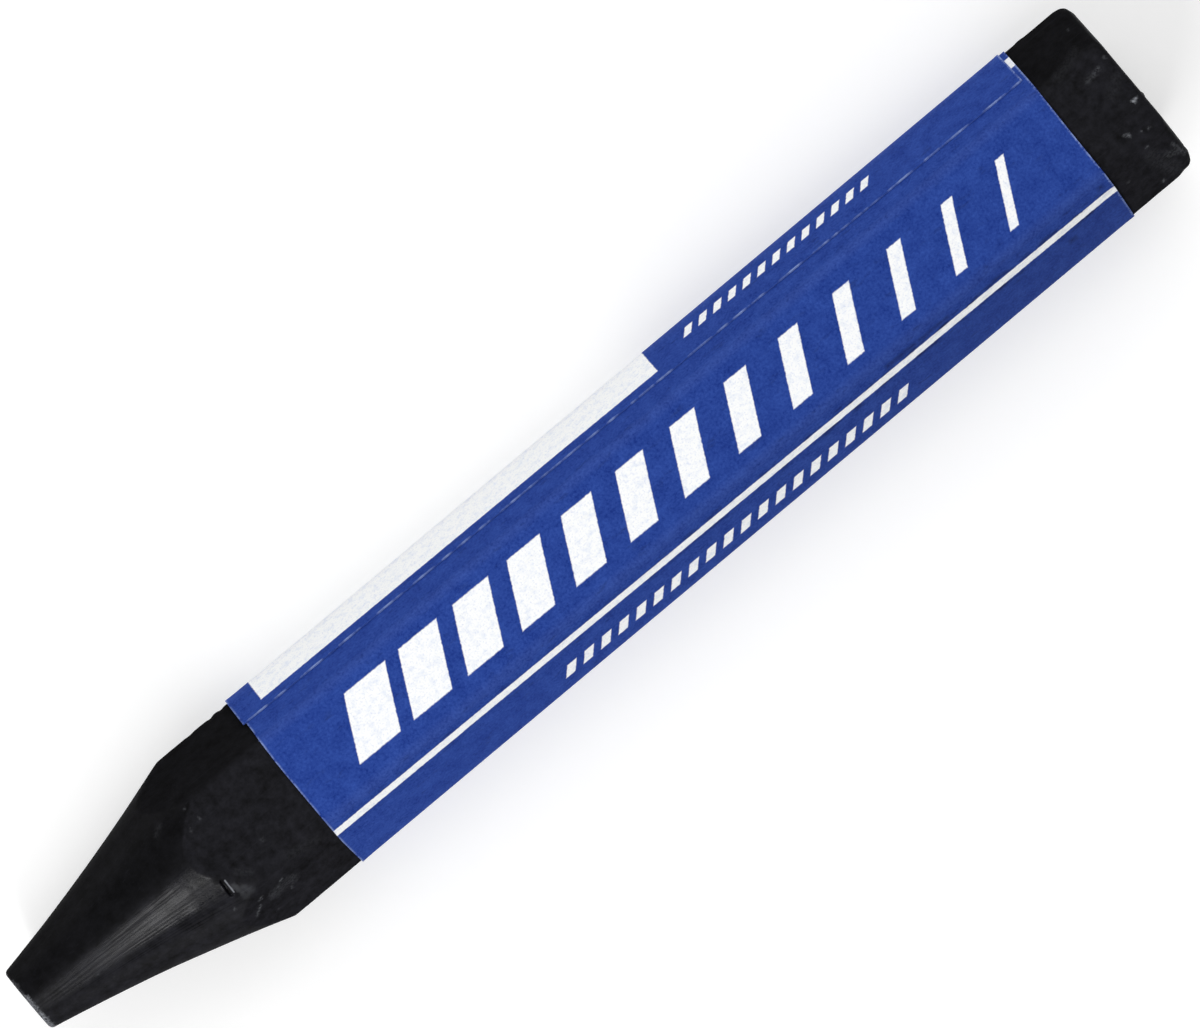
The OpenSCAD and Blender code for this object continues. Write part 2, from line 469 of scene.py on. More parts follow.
paper = {
    "thickness": 0.12 * mm,
    "glueGap": 0.05 * mm,
    "flapLead": 0.5 * mm,
    "seamToCorner": 3.0 * mm,
    "leadToCorner": 4.4 * mm,
    "climb": 0.8 * mm,
    "askew": math.radians(0.6),   # the sheet was wound this far off square
    # its cut ends: sides passed on the way round, and how far the end lies behind square, in mm
    "frontLine": [
        (-0.5, 0.38), (0.8, 0.34), (1.3, 0.15), (2.4, 0.15), (3, 0.36), (4, 0.41), (5, 0.2), (7, 0.05)],
    "rearLine": [
        (-0.5, 0.3), (0.9, 0.27), (1.5, 0.14), (2.3, 0.06), (3, -0.15),
        (4, -0.3), (5, -0.36), (6, -0.28), (7, -0.1)],
    "columns": 150,
    "rowsOnFlat": 9,
    "rowsOnPartFlat": 5,
    "rowsOnCorner": 6,
    "rowsToClimb": 4,
    "rowsOnClimb": 4,
    "rowsOnFlap": 6,
    "rowsOnPress": 2,
    "bow": 0.05 * mm,             # how far the paper stands off the middle of a flat
    "pull": 0.05 * mm,            # how much closer each layer lies at a corner
    "pullReach": 1.2 * mm,        # and over what stretch of the flats that fades
    "wave": (11 * mm, 0.03 * mm),    # size and height of the long waves
    "curl": (1.5 * mm, 0.07 * mm),   # reach and height of the lift at the cut ends
    "curlSpread": (4 * mm, 5 * mm),  # distances along and across over which that lift varies
    "noiseSlices": (3.1, 7.7),       # slices of the noise that draw the waves and the lift
    "seamPress": (0.55 * mm, 0.04 * mm),   # reach and depth to which the flap's edge was rubbed down
    "smoothAngle": math.radians(40),
}

sideLength = 2 * flatRadius * math.tan(halfTurn)
flatLength = 2 * (flatRadius - wax["cornerRadius"]) * math.tan(halfTurn)
bendRadius = wax["cornerRadius"] + paper["glueGap"] + paper["thickness"] / 2
arcLength = bendRadius * 2 * halfTurn
sidePitch = flatLength + arcLength
firstOffset = paper["glueGap"] + paper["thickness"]
flapOffset = 2 * firstOffset
bottomSide = 4     # counted along the winding from the +Y corner

# places along the winding, from the middle of the +Y corner
edgePlace = {
    "lead": sidePitch * -0.5 + sideLength / 2 - paper["leadToCorner"],
    "seam": sidePitch * (sides + 0.5) + sideLength / 2 - paper["seamToCorner"],
}
climbEnd = sidePitch * sides + edgePlace["lead"] - paper["climb"] / 2
climbStart = climbEnd - paper["climb"]
paperFront = paperLow.x + paper["flapLead"]
blankLength = paperHigh.x - paperFront
blankWidth = edgePlace["seam"] - edgePlace["lead"]


def endLine(name, place):
    # how far a cut end of the sheet lies behind square
    passed = place / sidePitch
    for (low, atLow), (high, atHigh) in zip(paper[name], paper[name][1:]):
        if passed <= high:
            share = max((passed - low) / (high - low), 0)
            return (atLow + (atHigh - atLow) * share) * mm
    return atHigh * mm


def windingRows():
    # place along the winding, and how much of the skew the row takes: edges take it all, corners none
    anchors = [(edgePlace["lead"], 1, 0)]
    for corner in range(sides + 1):
        middle = corner * sidePitch
        if corner == sides:
            anchors.append((climbStart, 1, paper["rowsToClimb"]))
            anchors.append((climbEnd, 1, paper["rowsOnClimb"]))
        onFlat = paper["rowsOnFlat" if 0 < corner < sides else "rowsOnPartFlat"]
        anchors.append((middle - arcLength / 2, 0, onFlat))
        anchors.append((middle + arcLength / 2, 0, paper["rowsOnCorner"]))
    anchors.append((edgePlace["seam"] - paper["seamPress"][0], 1, paper["rowsOnFlap"]))
    anchors.append((edgePlace["seam"], 1, paper["rowsOnPress"]))
    rows = [anchors[0][:2]]
    for (fromPlace, fromSkew, _), (toPlace, toSkew, steps) in zip(anchors, anchors[1:]):
        for step in range(1, steps + 1):
            share = step / steps
            place = fromPlace + (toPlace - fromPlace) * share
            rows.append((place, fromSkew + (toSkew - fromSkew) * share))
    return rows


def woundPoint(place, offset):
    # point of the hexagon's section at a place along the winding, at an offset from the wax
    turned = place + arcLength / 2
    side = math.floor(turned / sidePitch)
    along = turned - side * sidePitch
    corner = side * 2 * halfTurn
    if along < arcLength:
        angle = corner + halfTurn * (2 * along / arcLength - 1)
        reach = wax["cornerRadius"] + offset
        return (cornerCentre * math.cos(corner) + reach * math.cos(angle),
                cornerCentre * math.sin(corner) + reach * math.sin(angle))
    angle = corner + halfTurn
    slide = along - arcLength - flatLength / 2
    reach = flatRadius + offset
    return (reach * math.cos(angle) - slide * math.sin(angle),
            reach * math.sin(angle) + slide * math.cos(angle))


def paperRise(x, place, share):
    # small departures of the real sheet: bowed flats, long waves, ends that lift
    turned = place + arcLength / 2
    side = math.floor(turned / sidePitch)
    if side == bottomSide:
        return 0     # the side that lies on the table is pressed flat
    along = turned - side * sidePitch - arcLength
    onFlat = 0 if along < 0 else 1 - (2 * along / flatLength - 1) ** 2
    waveSlice, liftSlice = paper["noiseSlices"]
    waveSize, waveHeight = paper["wave"]
    spot = Vector((x / waveSize, (place % (sides * sidePitch)) / waveSize, waveSlice))
    rise = onFlat * (paper["bow"] + waveHeight * noise.noise(spot))
    reach, height = paper["curl"]
    spreadX, spreadPlace = paper["curlSpread"]
    endGap = min(share, 1 - share) * blankLength
    lift = 0.5 + 0.5 * noise.noise(Vector((x / spreadX, place / spreadPlace, liftSlice)))
    rise += height * lift * max(0, 1 - endGap / reach) ** 2
    return max(rise, 0)


def cornerShare(place):
    # 1 round a corner, falling to 0 over the start of the flats beside it
    gap = abs(place - round(place / sidePitch) * sidePitch) - arcLength / 2
    return min(max(1 - gap / paper["pullReach"], 0), 1)


def seamDrop(place, seamPlace):
    # the flap's edge closes the gap that the paste leaves under it
    reach, depth = paper["seamPress"]
    return depth * max(0, 1 - (seamPlace - place) / reach)


def modelLabel():
    rows = windingRows()
    columns = paper["columns"]
    deselectAll()
    bpy.ops.mesh.primitive_grid_add(x_subdivisions=columns, y_subdivisions=len(rows) - 1, size=1)
    label = namePiece("paper_label")

    # the flat blank is wound round the stick
    lean = math.tan(paper["askew"])
    middleX = paperFront + blankLength / 2
    spots = []
    for point in label.data.vertices:
        share = point.co.x + 0.5
        row, skew = rows[round((point.co.y + 0.5) * (len(rows) - 1))]
        x = paperFront + share * blankLength
        place = row + skew * (x - middleX) * lean
        x += endLine("frontLine", place) * (1 - share) + endLine("rearLine", place) * share
        edgeShift = (x - middleX) * lean
        climb = (place - climbStart - edgeShift) / paper["climb"]
        offset = firstOffset + (flapOffset - firstOffset) * min(max(climb, 0), 1)
        offset += paperRise(x, place, share) - seamDrop(place, edgePlace["seam"] + edgeShift)
        offset -= paper["pull"] * offset / firstOffset * cornerShare(place)
        y, z = woundPoint(place, offset)
        spots.append((share, (place - edgePlace["lead"] - edgeShift) / blankWidth))
        point.co = (x, y, axisZ + z)
    sheetMap = label.data.uv_layers.active
    sheetMap.name = "sheet"
    for loop in label.data.loops:
        sheetMap.data[loop.index].uv = spots[loop.vertex_index]
    bpy.ops.object.mode_set(mode="EDIT")
    bpy.ops.mesh.select_all(action="SELECT")
    bpy.ops.mesh.flip_normals()
    bpy.ops.object.mode_set(mode="OBJECT")
    return label


def thickenLabel(label):
    applyModifier(
        label, "SOLIDIFY", thickness=paper["thickness"], offset=-1,
        material_offset=1, material_offset_rim=1)
    makeActive(label)
    bpy.ops.object.shade_smooth_by_angle(angle=paper["smoothAngle"])


label = modelLabel()
print("paper label:", round(blankLength / mm, 1), "by", round(blankWidth / mm, 1), "mm blank")


# Finishes

def castWaxFinish():
    # Pigmented black wax, cast in a mould and pointed on a wheel. The cast flats are matt, clouded
    # and scuffed by handling; the taper keeps a satin gloss with lines drawn along it.
    material, tree = newMaterial("cast_black_wax")
    where = addNode(tree, "TexCoord")
    place = addNode(tree, "VectorMath", {0: where.outputs["Object"], "Scale": 1 / mm}, operation="SCALE")
    turned, pale, lightened, paintedSlitShade = [
        addNode(tree, "Attribute", attribute_name=name).outputs["Fac"]
        for name in ("turned", "pale", "lightened", "paintedSlitShade")]

    # lines drawn along the taper, 9 mm long and 0.15 mm apart where its radius is 5.7 mm
    fromAxis = addNode(tree, "VectorMath", {0: place, 1: (0, 0, axisZ / mm)}, operation="SUBTRACT")
    section = addNode(tree, "VectorMath", {0: fromAxis, 1: (0, 1, 1)}, operation="MULTIPLY")
    aimed = addNode(tree, "VectorMath", {0: section}, operation="NORMALIZE")
    around = addNode(tree, "VectorMath", {0: aimed, "Scale": 5.7 / 0.15}, operation="SCALE")
    along = addNode(tree, "VectorMath", {0: fromAxis, 1: (1 / 9, 0, 0)}, operation="MULTIPLY")
    drawn = addNode(tree, "VectorMath", {0: around, 1: along}, operation="ADD")
    lines = addNode(tree, "TexNoise", {"Vector": drawn, "Scale": 1, "Detail": 4, "Roughness": 0.6})

    # clouds of handling 3 mm across, mottling 0.9 mm, grain of the casting 0.3 mm, scratches 5 mm long
    cloud, mottle, grain = [
        addNode(tree, "TexNoise", {
            "Vector": place, "Scale": 1 / size, "Detail": detail, "Roughness": rough})
        for size, detail, rough in ((3, 4, 0.6), (0.9, 4, 0.7), (0.3, 3, 0.6))]
    skewed = addNode(tree, "Mapping", {
        "Vector": place, "Rotation": (0.5, 0.3, 0.9), "Scale": (1 / 5, 1 / 0.16, 1 / 0.16)})
    scratch = addNode(tree, "TexNoise", {"Vector": skewed, "Scale": 1, "Detail": 2})
    scratch = addNode(tree, "MapRange", {
        "Value": scratch, "From Min": 0.62, "From Max": 0.74, "To Max": 0.1})

    # painted shade: the +Y side of the flats and the +Y half of the taper are painted blacker than the
    # rest, though not the faces of the tip and butt
    sideways = addNode(tree, "SeparateXYZ", {0: aimed}).outputs["Y"]
    onCast = addNode(tree, "MapRange", {"Value": sideways, "From Min": 0.56, "From Max": 0.46})
    onTurned = addNode(tree, "MapRange", {"Value": sideways, "From Min": 0.12, "From Max": -0.04})
    clearOfPaintedShade = addNode(tree, "Mix", {0: turned, 2: onCast, 3: onTurned})
    behindTip = addNode(tree, "SeparateXYZ", {0: fromAxis}).outputs["X"]
    atTip = addNode(tree, "MapRange", {
        "Value": behindTip, "From Min": tipX / mm + 0.2, "From Max": tipX / mm + 0.05})
    atButt = addNode(tree, "MapRange", {
        "Value": behindTip, "From Min": buttX / mm - 0.3, "From Max": buttX / mm - 0.1})
    atEnd = addNode(tree, "Math", {0: atTip, 1: atButt}, operation="MAXIMUM")
    clearOfPaintedShade = addNode(tree, "Math", {0: clearOfPaintedShade, 1: atEnd}, operation="MAXIMUM")
    low = addNode(tree, "Mix", {0: clearOfPaintedShade, 6: linear("#040405"), 7: linear("#09090b")}, data_type="RGBA")
    high = addNode(tree, "Mix", {
        0: clearOfPaintedShade, 6: linear("#121215"), 7: linear("#212126")}, data_type="RGBA")

    # bloom, scratches, dust with painted highlights, and painted shade in the slit
    clouded = addNode(tree, "Mix", {0: 0.65, 2: cloud, 3: mottle})
    clouded = addNode(tree, "MapRange", {"Value": clouded, "From Min": 0.34, "From Max": 0.66})
    colour = addNode(tree, "Mix", {0: clouded, 6: low, 7: high}, data_type="RGBA")
    crumbs = addNode(tree, "TexNoise", {"Vector": place, "Scale": 1 / 0.22, "Detail": 3})
    crumbs = addNode(tree, "MapRange", {
        "Value": crumbs, "From Min": 0.36, "From Max": 0.6, "To Min": 0.1, "To Max": 1.2})
    dustAndPaintedGlint = addNode(tree, "Math", {0: pale, 1: crumbs}, operation="MULTIPLY")
    dustAndPaintedGlint = addNode(tree, "Math", {0: dustAndPaintedGlint, 1: lightened}, operation="MAXIMUM")
    for share, tone in ((scratch, "#33343a"), (dustAndPaintedGlint, "#8f9298"), (paintedSlitShade, "#030304")):
        colour = addNode(tree, "Mix", {0: share, 6: colour, 7: linear(tone)}, data_type="RGBA")

    # satin on the taper, glossier towards its broad end and streaked by the wheel; matt on the flats
    polish = addNode(tree, "MapRange", {
        "Value": behindTip, "From Min": tipX / mm + 2, "From Max": tipX / mm + 13,
        "To Min": 0.3, "To Max": 0.1})
    streak = addNode(tree, "MapRange", {
        "Value": lines, "From Min": 0.42, "From Max": 0.6, "To Max": 0.22})
    onTaper = addNode(tree, "Math", {0: polish, 1: streak}, operation="ADD")
    onTaper = addNode(tree, "Mix", {0: onTurned, 2: 0.5, 3: onTaper})
    onFlats = addNode(tree, "MapRange", {
        "Value": cloud, "From Min": 0.3, "From Max": 0.7, "To Min": 0.62, "To Max": 0.8})

    # seen at a slant the wax is duller, and so are its ends, the dust and the painted highlights
    grazing = addNode(tree, "LayerWeight", {"Blend": 0.5}).outputs["Facing"]
    grazing = addNode(tree, "MapRange", {"Value": grazing, "From Min": 0.2, "From Max": 0.5})
    dullest = addNode(tree, "Mix", {0: turned, 2: 1.0, 3: 0.87})
    rough = onFlats
    for share, value in ((turned, onTaper), (grazing, dullest), (atEnd, 0.65), (dustAndPaintedGlint, 0.9)):
        rough = addNode(tree, "Mix", {0: share, 2: rough, 3: value})

    # grain 0.012 mm deep on the flats and a quarter of that on the taper, with lines up to 0.01 mm deep
    grainDepth = addNode(tree, "MapRange", {"Value": turned, "To Min": 1.0, "To Max": 0.25})
    bump = addNode(tree, "Bump", {"Height": grain, "Strength": grainDepth, "Distance": 0.012 * mm})
    lineDepth = addNode(tree, "Math", {0: turned, 1: 0.8}, operation="MULTIPLY")
    bump = addNode(tree, "Bump", {
        "Height": lines, "Strength": lineDepth, "Distance": 0.01 * mm, "Normal": bump})
    shader = addNode(tree, "BsdfPrincipled", {
        "Base Color": colour, "Roughness": rough, "Normal": bump,
        "IOR": 1.44, "Specular IOR Level": 0.08})
    addNode(tree, "OutputMaterial", {"Surface": shader})
    return material


# Print on the sheet, wax on it and a painted shade. Places are in mm, along it from the front edge and
# across it from the leading edge.

sheetLength, sheetWidth = blankLength / mm, blankWidth / mm
allOver = (-200, 200)    # from before the sheet's near edge to past its far one

sheetPrint = {
    "softEdge": 0.05,
    "ragged": 0.07,
    "rule": (allOver, (23.9, 24.85)),
    "panel": ((2.5, 45.6), (sheetWidth - 12.5, sheetWidth - 1.28)),
    "endMark": ((sheetLength - 1.5, allOver[1]), (5.6, 7.4)),
    "bigBars": {
        "start": 6, "count": 13, "pitch": 5.7, "widths": (4.4, 0.9),
        "middle": 17.7, "height": 5.4, "slant": -0.5},
    "smallBars": {
        "start": 23, "count": 20, "pitch": 1.9, "widths": (1.0, 1.0),
        "middle": 28.2, "height": 1.6, "slant": -0.5},
    "flapBars": {
        "start": 49, "count": 13, "pitch": 1.6, "widths": (0.8, 0.8),
        "middle": sheetWidth - 3.4, "height": 1.3, "slant": -0.5},
    "smears": [   # boxes in which wax has rubbed off on the paper
        ((60.3, 63.4), (22.9, 23.3)), ((63.8, 66.9), (23.0, 23.25)), ((64.1, 64.7), (23.2, 23.5)),
        ((71.8, 72.4), (23.3, 23.5)), ((78.9, 79.5), (26.3, 26.8)), ((83.4, 83.8), (22.6, 23.0))],
    "smearEdge": 0.3,
    "film": (allOver, (23, 38)),   # box that the painted shade darkens
    "filmEdge": 3,
    "filmReach": (25, 85),         # places along between which the painted shade deepens
    "filmShare": 0.22,
    "wornEnds": (0.12, 0.6),       # depth to which an edge has lost its ink, and the greatest share lost
    "wornFlap": (0.14, 0.55),
    "wornEdge": 0.06,
}


def printedBox(tree, along, across, box, soft):
    # 1 within the box and 0 outside it
    inside = []
    for spot, (low, high) in zip((along, across), box):
        gap = addNode(tree, "Math", {0: spot, 1: (low + high) / 2}, operation="SUBTRACT")
        gap = addNode(tree, "Math", {0: gap}, operation="ABSOLUTE")
        half = (high - low) / 2
        inside.append(addNode(tree, "MapRange", {
            "Value": gap, "From Min": half + soft, "From Max": half - soft}))
    return addNode(tree, "Math", {0: inside[0], 1: inside[1]}, operation="MINIMUM")


def printedBars(tree, along, across, row, soft):
    # a row of leaning bars, the first as wide as the first width and the last as the second
    pitch, lean = row["pitch"], row["slant"]
    leaned = addNode(tree, "Math", {0: across, 1: -lean, 2: along}, operation="MULTIPLY_ADD")
    shift = (lean * row["middle"] - row["start"]) / pitch
    steps = addNode(tree, "Math", {0: leaned, 1: 1 / pitch, 2: shift}, operation="MULTIPLY_ADD")
    bar = addNode(tree, "Math", {0: steps}, operation="FLOOR")
    inBar = addNode(tree, "Math", {0: steps}, operation="FRACT")
    inBar = addNode(tree, "Math", {0: inBar, 1: 0.5}, operation="SUBTRACT")
    inBar = addNode(tree, "Math", {0: inBar}, operation="ABSOLUTE")
    first, last = (width / pitch / 2 for width in row["widths"])
    half = addNode(tree, "MapRange", {
        "Value": bar, "From Max": row["count"] - 1, "To Min": first, "To Max": last})
    left = addNode(tree, "Math", {0: half, 1: inBar}, operation="SUBTRACT")
    bars = addNode(tree, "MapRange", {"Value": left, "From Min": -soft / pitch, "From Max": soft / pitch})
    low, high = row["middle"] - row["height"] / 2, row["middle"] + row["height"] / 2
    field = printedBox(tree, steps, across, ((0, row["count"]), (low, high)), soft)
    return addNode(tree, "Math", {0: bars, 1: field}, operation="MINIMUM")


def sheetPlace(tree):
    # place on the flat sheet in mm
    where = addNode(tree, "UVMap", uv_map="sheet")
    return addNode(tree, "Mapping", {"Vector": where, "Scale": (sheetLength, sheetWidth, 1)})


def edgeDashes(tree, sheet):
    # stretches 2 mm long in which the edge of the flap has lost its ink
    drawn = addNode(tree, "Mapping", {
        "Vector": sheet, "Scale": (1 / 2, 1 / 9, 1), "Location": (1.7, 0, 0)})
    dashes = addNode(tree, "TexNoise", {"Vector": drawn, "Scale": 1, "Detail": 3})
    return addNode(tree, "MapRange", {"Value": dashes, "From Min": 0.46, "From Max": 0.6})


def printedPaperFinish():
    # Uncoated label paper, printed solid blue with the white left bare: a mottled ink film that sinks
    # into the fibres, ragged printed edges, rubbed folds and smudges of black wax.
    material, tree = newMaterial("printed_label_paper")
    sheet = sheetPlace(tree)

    # ink creeps along the fibres, so printed edges wander by a few hundredths of a millimetre
    creep = addNode(tree, "TexNoise", {"Vector": sheet, "Scale": 1 / 0.25, "Detail": 3})
    creep = addNode(tree, "VectorMath", {
        0: creep.outputs["Color"], 1: (0.5, 0.5, 0.5)}, operation="SUBTRACT")
    creep = addNode(tree, "VectorMath", {0: creep, "Scale": 2 * sheetPrint["ragged"]}, operation="SCALE")
    crept = addNode(tree, "VectorMath", {0: sheet, 1: creep}, operation="ADD")
    spot = addNode(tree, "SeparateXYZ", {0: crept})
    along, across = spot.outputs["X"], spot.outputs["Y"]
    soft = sheetPrint["softEdge"]
    bare = printedBox(tree, along, across, sheetPrint["rule"], soft)
    for name in ("panel", "endMark"):
        box = printedBox(tree, along, across, sheetPrint[name], soft)
        bare = addNode(tree, "Math", {0: bare, 1: box}, operation="MAXIMUM")
    for name in ("bigBars", "smallBars", "flapBars"):
        bars = printedBars(tree, along, across, sheetPrint[name], soft)
        bare = addNode(tree, "Math", {0: bare, 1: bars}, operation="MAXIMUM")

    # mottled ink: soft patches 1.5 mm across under a finer grain of 0.25 mm
    patches, grain, stain, fleck = [
        addNode(tree, "TexNoise", {
            "Vector": sheet, "Scale": 1 / size, "Detail": detail, "Roughness": rough})
        for size, detail, rough in ((1.5, 2, 0.5), (0.25, 3, 0.7), (0.7, 3, 0.6), (0.18, 2, 0.6))]
    mottle = addNode(tree, "Mix", {0: 0.65, 2: patches, 3: grain})
    mottle = addNode(tree, "MapRange", {"Value": mottle, "From Min": 0.3, "From Max": 0.7})
    ink = addNode(tree, "Mix", {0: mottle, 6: linear("#142d7b"), 7: linear("#3553a6")}, data_type="RGBA")

    # bare paper, with pale stains 0.7 mm across and stray specks of ink of 0.18 mm in the white
    stain = addNode(tree, "MapRange", {"Value": stain, "From Min": 0.48, "From Max": 0.72, "To Max": 0.5})
    fleck = addNode(tree, "MapRange", {
        "Value": fleck, "From Min": 0.52, "From Max": 0.75, "To Max": 0.45})
    stock = linear("#fcfdfd")
    for share, tone in ((stain, "#d5def0"), (fleck, "#b4c1e2")):
        stock = addNode(tree, "Mix", {0: share, 6: stock, 7: linear(tone)}, data_type="RGBA")
    colour = addNode(tree, "Mix", {0: bare, 6: ink, 7: stock}, data_type="RGBA")

    # rubbed folds: the ink is thinner over the six corners
    body = addNode(tree, "TexCoord")
    fromAxis = addNode(tree, "VectorMath", {
        0: body.outputs["Object"], 1: (0, 0, axisZ)}, operation="SUBTRACT")
    section = addNode(tree, "VectorMath", {0: fromAxis, 1: (0, 1, 1)}, operation="MULTIPLY")
    reach = addNode(tree, "VectorMath", {0: section}, operation="LENGTH")
    fold = addNode(tree, "MapRange", {
        "Value": reach, "From Min": cornerReach - 0.1 * mm, "From Max": cornerReach + 0.2 * mm,
        "To Max": 0.18})
    lightened = addNode(tree, "Math", {0: fold, 1: grain}, operation="MULTIPLY")
    layers = [(lightened, "#6f82bd")]

    # smudges of wax, 3 mm long, drawn along the stick
    drag = addNode(tree, "Mapping", {
        "Vector": sheet, "Scale": (1 / 3, 1 / 0.9, 1), "Location": (3.7, 1.3, 0)})
    smudge = addNode(tree, "TexNoise", {"Vector": drag, "Scale": 1, "Detail": 5, "Roughness": 0.7})
    smudge = addNode(tree, "MapRange", {
        "Value": smudge, "From Min": 0.58, "From Max": 0.78, "To Max": 0.7})
    onInk = addNode(tree, "MapRange", {"Value": bare, "To Min": 1, "To Max": 0.12})
    smudge = addNode(tree, "Math", {0: smudge, 1: onInk}, operation="MULTIPLY")
    layers.append((smudge, "#1d2a5c"))

    # painted shade: the -Y side is darkened, more so towards the butt
    filmFront, filmRear = sheetPrint["filmReach"]
    thickness = addNode(tree, "MapRange", {
        "Value": along, "From Min": filmFront, "From Max": filmRear,
        "To Max": sheetPrint["filmShare"]})
    film = printedBox(tree, along, across, sheetPrint["film"], sheetPrint["filmEdge"])
    for share in (thickness, onInk):
        film = addNode(tree, "Math", {0: film, 1: share}, operation="MULTIPLY")
    layers.append((film, "#1d1d21"))

    # wax is dragged along both edges of the rule in dashes, more so towards the butt
    ruleLow, ruleHigh = sheetPrint["rule"][1]
    fromRule = addNode(tree, "Math", {0: across, 1: (ruleLow + ruleHigh) / 2}, operation="SUBTRACT")
    fromRule = addNode(tree, "Math", {0: fromRule}, operation="ABSOLUTE")
    beside = addNode(tree, "MapRange", {"Value": fromRule, "From Min": 1.3, "From Max": 0.6})
    dash = addNode(tree, "Mapping", {
        "Vector": sheet, "Scale": (1 / 1.6, 1 / 0.5, 1), "Location": (8.2, 4.4, 0)})
    dash = addNode(tree, "TexNoise", {"Vector": dash, "Scale": 1, "Detail": 4})
    dash = addNode(tree, "MapRange", {"Value": dash, "From Min": 0.47, "From Max": 0.62, "To Max": 0.9})
    rearward = addNode(tree, "MapRange", {
        "Value": along, "From Min": 25, "From Max": 65, "To Min": 0.35, "To Max": 1})
    for share in (rearward, beside):
        dash = addNode(tree, "Math", {0: dash, 1: share}, operation="MULTIPLY")
    broken = addNode(tree, "MapRange", {"Value": grain, "From Min": 0.36, "From Max": 0.54})
    for box in sheetPrint["smears"]:
        smear = printedBox(tree, along, across, box, sheetPrint["smearEdge"])
        smear = addNode(tree, "Math", {0: smear, 1: broken}, operation="MULTIPLY")
        dash = addNode(tree, "Math", {0: dash, 1: smear}, operation="MAXIMUM")
    dash = addNode(tree, "Math", {0: dash, 1: onInk}, operation="MULTIPLY")
    layers.append((dash, "#15204a"))

    # the ink has come off the last tenth of a millimetre at the cut ends, and in dashes along the flap
    torn = addNode(tree, "Mix", {0: 0.5, 2: grain, 3: patches})
    torn = addNode(tree, "MapRange", {"Value": torn, "From Min": 0.4, "From Max": 0.6, "To Max": 0.9})
    endDepth, endShare = sheetPrint["wornEnds"]
    flapDepth, flapShare = sheetPrint["wornFlap"]
    ends = (((endDepth, sheetLength - endDepth), allOver), endShare, torn)
    flapEdge = ((allOver, (flapDepth, sheetWidth - flapDepth)), flapShare, edgeDashes(tree, sheet))
    for box, share, breaks in (ends, flapEdge):
        kept = printedBox(tree, along, across, box, sheetPrint["wornEdge"])
        lost = addNode(tree, "MapRange", {"Value": kept, "To Min": share, "To Max": 0})
        lost = addNode(tree, "Math", {0: lost, 1: breaks}, operation="MULTIPLY")
        layers.append((lost, "#a6b9e2"))
    for share, tone in layers:
        colour = addNode(tree, "Mix", {0: share, 6: colour, 7: linear(tone)}, data_type="RGBA")

    # fibres 0.2 mm wide lie mostly along the sheet
    laid = addNode(tree, "Mapping", {"Vector": sheet, "Scale": (1 / 0.35, 1 / 0.2, 1)})
    fibre = addNode(tree, "TexNoise", {"Vector": laid, "Scale": 1, "Detail": 4})
    bump = addNode(tree, "Bump", {"Height": fibre, "Strength": 0.5, "Distance": 0.015 * mm})
    rough = addNode(tree, "MapRange", {"Value": grain, "To Min": 0.55, "To Max": 0.72})
    shader = addNode(tree, "BsdfPrincipled", {
        "Base Color": colour, "Roughness": rough, "Normal": bump,
        "IOR": 1.45, "Specular IOR Level": 0.04})
    addNode(tree, "OutputMaterial", {"Surface": shader})
    return material


def cutPaperFinish():
    # Bare label paper, guillotined: the cut edges are coloured a mid ink blue, with a pale dash here and
    # there.
    material, tree = newMaterial("bare_label_paper")
    dashed = edgeDashes(tree, sheetPlace(tree))
    stock = addNode(tree, "Mix", {
        0: dashed, 6: linear("#3d56a3"), 7: linear("#7f93cc")}, data_type="RGBA")
    shader = addNode(tree, "BsdfPrincipled", {
        "Base Color": stock, "Roughness": 0.8, "IOR": 1.45, "Specular IOR Level": 0.15})
    addNode(tree, "OutputMaterial", {"Surface": shader})
    return material


def driedPasteFinish():
    # Starch paste, brushed on and dried: a cream, matt film with brush lines along the stick.
    material, tree = newMaterial("dried_starch_paste")
    where = addNode(tree, "TexCoord")
    brushed = addNode(tree, "Mapping", {
        "Vector": where.outputs["Object"], "Scale": (1 / (8 * mm), 1 / (0.4 * mm), 1 / (0.4 * mm))})
    brush = addNode(tree, "TexNoise", {"Vector": brushed, "Scale": 1, "Detail": 3})
    film = addNode(tree, "Mix", {0: brush, 6: linear("#d3c7a4"), 7: linear("#efe7cf")}, data_type="RGBA")
    rough = addNode(tree, "MapRange", {"Value": brush, "To Min": 0.5, "To Max": 0.7})
    shader = addNode(tree, "BsdfPrincipled", {"Base Color": film, "Roughness": rough, "IOR": 1.5})
    addNode(tree, "OutputMaterial", {"Surface": shader})
    return material


stick.data.materials.clear()
stick.data.materials.append(castWaxFinish())
label.data.materials.append(printedPaperFinish())
label.data.materials.append(cutPaperFinish())
thickenLabel(label)
paste = driedPasteFinish()
for name in ("lap_glue", "tack_glue"):
    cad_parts[name].data.materials[0] = paste

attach(stick, "root")
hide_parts("wax_stick")
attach(label, "root")
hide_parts("paper_wrapper")
print("finishes set")


# Floor, light and camera

studio = {
    "floorSize": 4.0,     # metres
    "floorLift": 0.42,    # brings the card up to white where no shadow falls
    "cardTooth": 10 / 9 * mm,
    "ambient": 0.28,
    # where each softbox hangs, which way its length runs, its distance and size in metres, its power
    "overhead": {
        "toward": (0.1, 0.05, 1), "along": (1, 0, 0),
        "distance": 0.9, "size": (0.5, 0.6), "power": 0.4},
    "key": {
        "toward": (-0.55, -0.425, 0.72), "along": (0.06, -0.65, -0.37),
        "distance": 0.7, "size": (0.085, 0.58), "power": 2.75},
    "fill": {
        "toward": (0.36, 0.60, 0.45), "along": (0, 0, 1),
        "distance": 0.8, "size": (1.3, 1.3), "power": 6.5},
    "side": {
        "toward": (-0.8, -0.58, 0.16), "along": (0, 0, 1),
        "distance": 0.35, "size": (0.15, 0.15), "power": 0.19},
}

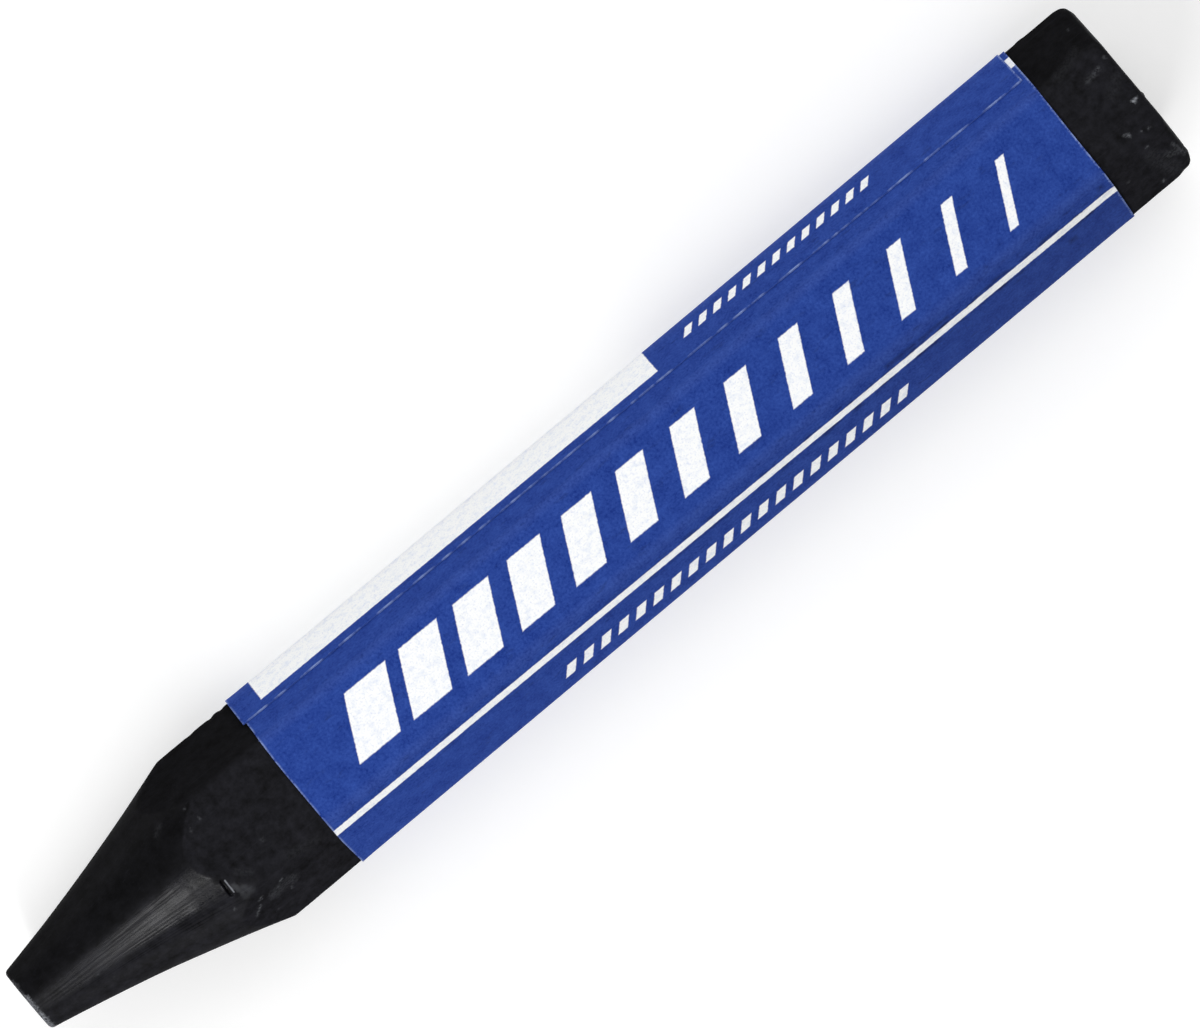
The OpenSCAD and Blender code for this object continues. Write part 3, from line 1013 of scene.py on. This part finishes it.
photo = {
    "across": 100.3 * mm,             # what the frame spans at the stick's axis
    "distance": 3000 * mm,
    "lookAt": (2.8 * mm, 0.78 * mm),  # middle of the frame, from the stick's middle
    "turn": math.radians(-39.92),     # tip at lower left
    "sensor": 36.0,                   # in the lens's own millimetres
    "clipEnd": 10,                    # metres
}


def makeFloor():
    deselectAll()
    bpy.ops.mesh.primitive_plane_add(size=studio["floorSize"], location=(0, 0, 0))
    floor = namePiece("floor")
    material, tree = newMaterial("white_card")
    where = addNode(tree, "TexCoord")
    tooth = addNode(tree, "TexNoise", {
        "Vector": where.outputs["Object"], "Scale": 1 / studio["cardTooth"]})
    tone = addNode(tree, "Mix", {0: tooth, 6: linear("#d8d8d8"), 7: linear("#dcdcdc")}, data_type="RGBA")

    # the lift shows to the camera and in reflections, and lights nothing
    rays = addNode(tree, "LightPath")
    seen = addNode(tree, "Math", {
        0: rays.outputs["Is Camera Ray"], 1: rays.outputs["Is Glossy Ray"]}, operation="MAXIMUM")
    seen = addNode(tree, "Math", {0: seen, 1: rays.outputs["Is Transmission Ray"]}, operation="MAXIMUM")
    lift = addNode(tree, "Math", {0: seen, 1: studio["floorLift"]}, operation="MULTIPLY")
    shader = addNode(tree, "BsdfPrincipled", {
        "Base Color": tone, "Roughness": 0.9, "Specular IOR Level": 0.0,
        "Emission Color": (1, 1, 1, 1), "Emission Strength": lift})
    addNode(tree, "OutputMaterial", {"Surface": shader})
    floor.data.materials.append(material)


def makeLight(name):
    lamp = studio[name]
    toward = Vector(lamp["toward"]).normalized()
    deselectAll()
    bpy.ops.object.light_add(type="AREA", location=toward * lamp["distance"] + Vector((0, 0, axisZ)))
    light = bpy.context.active_object
    light.name = name
    along = Vector(lamp["along"])
    along = (along - toward * along.dot(toward)).normalized()
    light.rotation_euler = Matrix((along.cross(toward), along, toward)).transposed().to_euler()
    light.data.shape = "RECTANGLE"
    light.data.size, light.data.size_y = lamp["size"]
    light.data.energy = lamp["power"]


def makeWorld():
    world = bpy.data.worlds.new("studio")
    world.use_nodes = True
    tree = world.node_tree
    tree.nodes.clear()
    sky = addNode(tree, "Background", {"Color": (1, 1, 1, 1), "Strength": studio["ambient"]})
    addNode(tree, "OutputWorld", {"Surface": sky})
    bpy.context.scene.world = world


def makeCamera():
    x, y = photo["lookAt"]
    deselectAll()
    bpy.ops.object.camera_add(location=(x, y, axisZ + photo["distance"]), rotation=(0, 0, photo["turn"]))
    camera = bpy.context.active_object
    camera.name = "photo_camera"
    camera.data.sensor_width = photo["sensor"]
    camera.data.lens = photo["sensor"] * photo["distance"] / photo["across"]
    camera.data.clip_end = photo["clipEnd"]
    bpy.context.scene.camera = camera


makeFloor()
for name in ("overhead", "key", "fill", "side"):
    makeLight(name)
makeWorld()
makeCamera()
bpy.context.scene.view_settings.view_transform = "Standard"
print("studio set")
